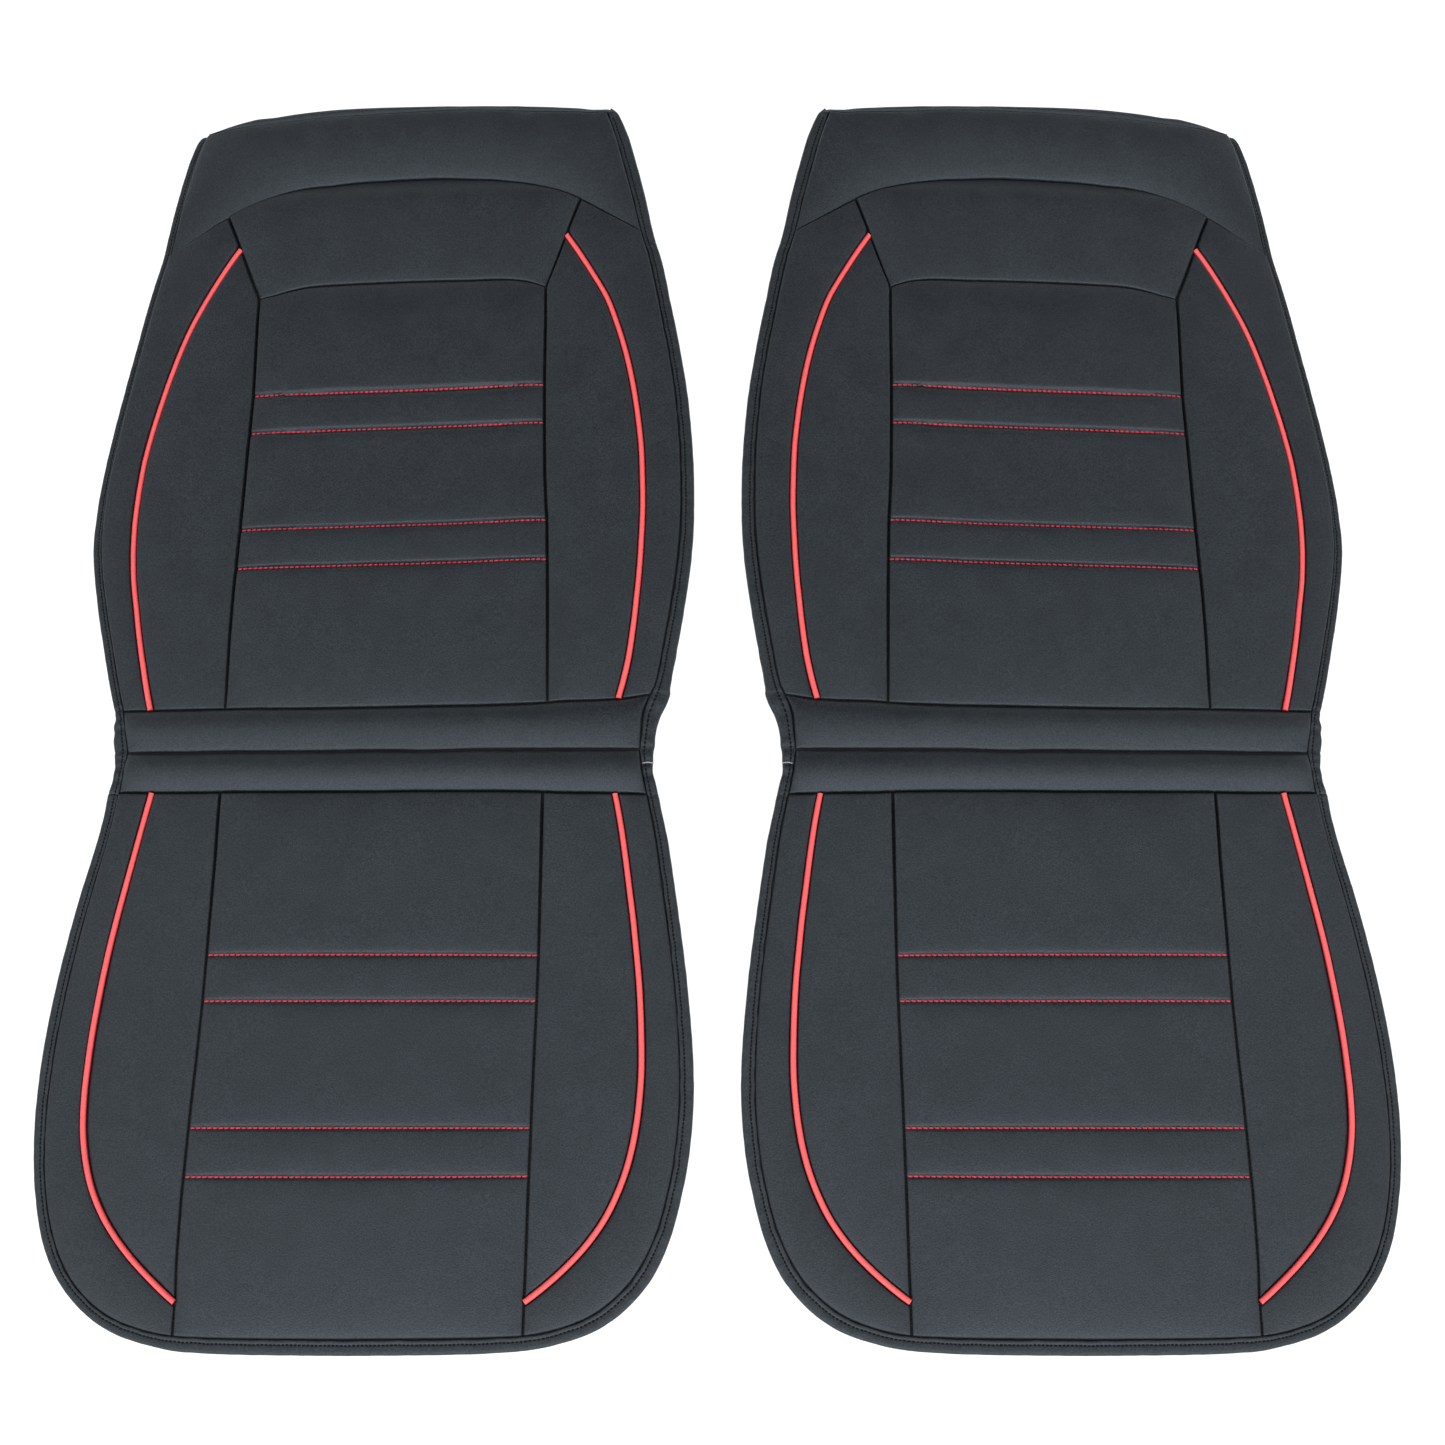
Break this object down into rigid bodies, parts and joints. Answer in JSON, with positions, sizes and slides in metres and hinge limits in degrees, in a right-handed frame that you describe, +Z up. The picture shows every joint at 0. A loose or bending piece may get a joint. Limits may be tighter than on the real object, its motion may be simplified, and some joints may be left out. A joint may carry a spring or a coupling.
{
  "type": "padded car seat cover pair",
  "caption": "Matching pair of padded slip-on front seat covers, each a backrest half and a seat half that fold at a waist crease, with contrast piping, stitched rows and an elastic hood.",
  "frame": {"origin": "on the plane that the laid-out pair rests on, midway between the two covers and midway between the front edges of the seats and the top edges of the hoods", "axes": "+X to the right across the pair, +Y from the seats towards the tops of the backrests, +Z up, out of the faces"},
  "size_m": [1.1, 1.1206, 0.011],
  "materials": {
    "face_leather": "satin",
    "wing_leather": "satin",
    "edge_tape": "matte",
    "piping": "satin",
    "red_thread": "matte",
    "foam": "matte",
    "lining": "matte",
    "elastic": "matte",
    "anti_slip_backing": "matte"
  },
  "bodies": {
    "left_seat": {"left_seat_waist_strip": "face_leather", "left_seat_insert": "face_leather", "left_seat_bolster_inboard": "face_leather", "left_seat_bolster_outboard": "face_leather", "left_seat_wing_inboard": "wing_leather", "left_seat_wing_outboard": "wing_leather", "left_seat_piping": "piping", "left_seat_binding": "edge_tape", "left_seat_foam": "foam", "left_seat_lining": "lining", "left_seat_stitching": "red_thread", "left_seat_strap": "elastic", "left_seat_backing": "anti_slip_backing"},
    "left_back": {"left_back_waist_strip": "face_leather", "left_back_insert": "face_leather", "left_back_bolster_inboard": "face_leather", "left_back_bolster_outboard": "face_leather", "left_back_wing_inboard": "wing_leather", "left_back_wing_outboard": "wing_leather", "left_back_shoulder": "face_leather", "left_back_yoke": "face_leather", "left_back_piping": "piping", "left_back_binding": "edge_tape", "left_back_foam": "foam", "left_back_lining": "lining", "left_back_stitching": "red_thread", "left_back_strap": "elastic", "left_hood_rear_panel": "face_leather", "left_hood_rolled_band": "face_leather", "left_hood_hem": "elastic"},
    "right_seat": {"right_seat_waist_strip": "face_leather", "right_seat_insert": "face_leather", "right_seat_bolster_inboard": "face_leather", "right_seat_bolster_outboard": "face_leather", "right_seat_wing_inboard": "wing_leather", "right_seat_wing_outboard": "wing_leather", "right_seat_piping": "piping", "right_seat_binding": "edge_tape", "right_seat_foam": "foam", "right_seat_lining": "lining", "right_seat_stitching": "red_thread", "right_seat_strap": "elastic", "right_seat_backing": "anti_slip_backing"},
    "right_back": {"right_back_waist_strip": "face_leather", "right_back_insert": "face_leather", "right_back_bolster_inboard": "face_leather", "right_back_bolster_outboard": "face_leather", "right_back_wing_inboard": "wing_leather", "right_back_wing_outboard": "wing_leather", "right_back_shoulder": "face_leather", "right_back_yoke": "face_leather", "right_back_piping": "piping", "right_back_binding": "edge_tape", "right_back_foam": "foam", "right_back_lining": "lining", "right_back_stitching": "red_thread", "right_back_strap": "elastic", "right_hood_rear_panel": "face_leather", "right_hood_rolled_band": "face_leather", "right_hood_hem": "elastic"}
  },
  "joints": [
    {"name": "left_back_fold", "type": "hinge", "parent": "left_seat", "child": "left_back", "pos_m": [-0.2855, -0.07735, 0.0114], "axis": [1, 0, 0], "range_deg": [0, 175]},
    {"name": "right_cover_lift", "type": "slide", "parent": "left_seat", "child": "right_seat", "axis": [0, 0, 1], "range_m": [0, 0.3]},
    {"name": "right_back_fold", "type": "hinge", "parent": "right_seat", "child": "right_back", "pos_m": [0.2855, -0.07735, 0.0114], "axis": [1, 0, 0], "range_deg": [0, 175]}
  ]
}
